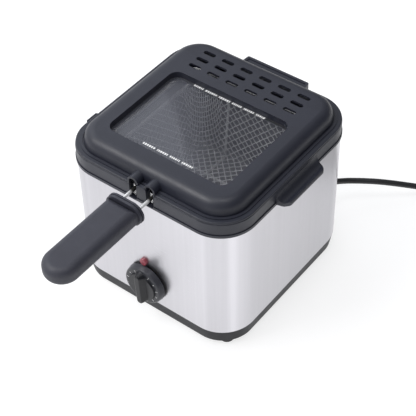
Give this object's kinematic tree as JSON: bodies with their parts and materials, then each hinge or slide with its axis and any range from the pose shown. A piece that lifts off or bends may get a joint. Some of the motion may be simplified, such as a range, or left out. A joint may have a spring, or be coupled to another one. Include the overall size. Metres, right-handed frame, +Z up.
{
  "type": "deep fryer",
  "caption": "Small square electric deep fryer: steel wall, dark plastic base, collar and lift-off lid with a glass window and vents, wire basket with a long handle, dial and lamp.",
  "frame": {"origin": "on the surface that the feet stand on, under the middle of the housing", "axes": "+Z up, -Y towards the front with the dial and the basket handle, +X to the right of someone who faces the front"},
  "size_m": [0.3795, 0.4706, 0.19],
  "materials": {
    "body_plastic": "charcoal moulded plastic, fine satin texture",
    "lid_plastic": "charcoal moulded plastic, fine satin texture",
    "grip_plastic": "charcoal moulded handle plastic, satin",
    "knob_plastic": "glossy black moulded plastic",
    "rubber": "black rubber",
    "silicone": "dark grey silicone",
    "steel_wall": "satin stainless steel",
    "bright_steel": "bright wire",
    "basket_steel": "fine stainless wire mesh",
    "zinc_steel": "zinc-plated steel",
    "pot_coat": "grey non-stick coat on aluminium",
    "aluminium": "bare aluminium",
    "element_steel": "heat-tinted steel sheath",
    "window_glass": "clear toughened glass",
    "lamp_red": "clear red lens",
    "lamp_body": "white plastic",
    "ceramic": "white steatite",
    "phenolic": "dark phenolic",
    "cord_jacket": "black cord jacket",
    "core_brown": "brown insulation",
    "core_blue": "blue insulation",
    "core_green": "green and yellow insulation",
    "brass": "plain brass"
  },
  "bodies": {
    "housing": {"base_tray": "body_plastic", "feet": "rubber", "foot_screws": "zinc_steel", "tie_rods": "zinc_steel", "front_wrap": "steel_wall", "rear_panel": "steel_wall", "collar": "body_plastic", "notch_sill": "body_plastic", "inner_pot": "pot_coat", "pot_gasket": "silicone", "heat_spreader": "aluminium", "heating_element": "element_steel", "heat_shield": "aluminium", "shield_posts": "zinc_steel", "sensor_capillary": "zinc_steel", "thermal_cutout": "ceramic", "thermostat_body": "phenolic", "thermostat_nut": "zinc_steel", "pilot_lamp": "lamp_body", "lamp_lens": "lamp_red", "lamp_clip": "zinc_steel", "terminal_block": "ceramic", "terminal_screws": "brass", "core_live": "core_brown", "core_neutral": "core_blue", "core_earth": "core_green", "wire_thermostat": "core_brown", "wire_element": "core_brown", "wire_neutral": "core_blue", "strain_relief": "cord_jacket", "power_cord": "cord_jacket", "cord_coil": "cord_jacket", "cord_tail": "cord_jacket", "cord_tie": "cord_jacket", "plug_body": "cord_jacket", "plug_pins": "brass"},
    "lid": {"lid_shell": "lid_plastic", "window_gasket": "silicone", "window_glass": "window_glass", "window_retainer": "zinc_steel", "retainer_screws": "zinc_steel"},
    "basket": {"basket_mesh": "basket_steel", "basket_rim": "bright_steel", "basket_frame_wires": "bright_steel", "handle_bracket": "bright_steel", "handle_wires": "bright_steel", "handle_grip": "grip_plastic", "handle_screw": "zinc_steel"},
    "knob": {"control_knob": "knob_plastic", "thermostat_shaft": "brass"}
  },
  "joints": [
    {"name": "lid_lift", "type": "slide", "parent": "housing", "child": "lid", "axis": [0, 0, 1], "range_m": [0, 0.27]},
    {"name": "basket_lift", "type": "slide", "parent": "housing", "child": "basket", "axis": [0, 0, 1], "range_m": [0, 0.126]},
    {"name": "knob_turn", "type": "hinge", "parent": "housing", "child": "knob", "pos_m": [0, -0.11, 0.0475], "axis": [0, -1, 0], "range_deg": [-270, 0]}
  ],
  "couplings": [
    {"joint": "basket_lift", "follows": "lid_lift", "ratio": 0.46}
  ]
}
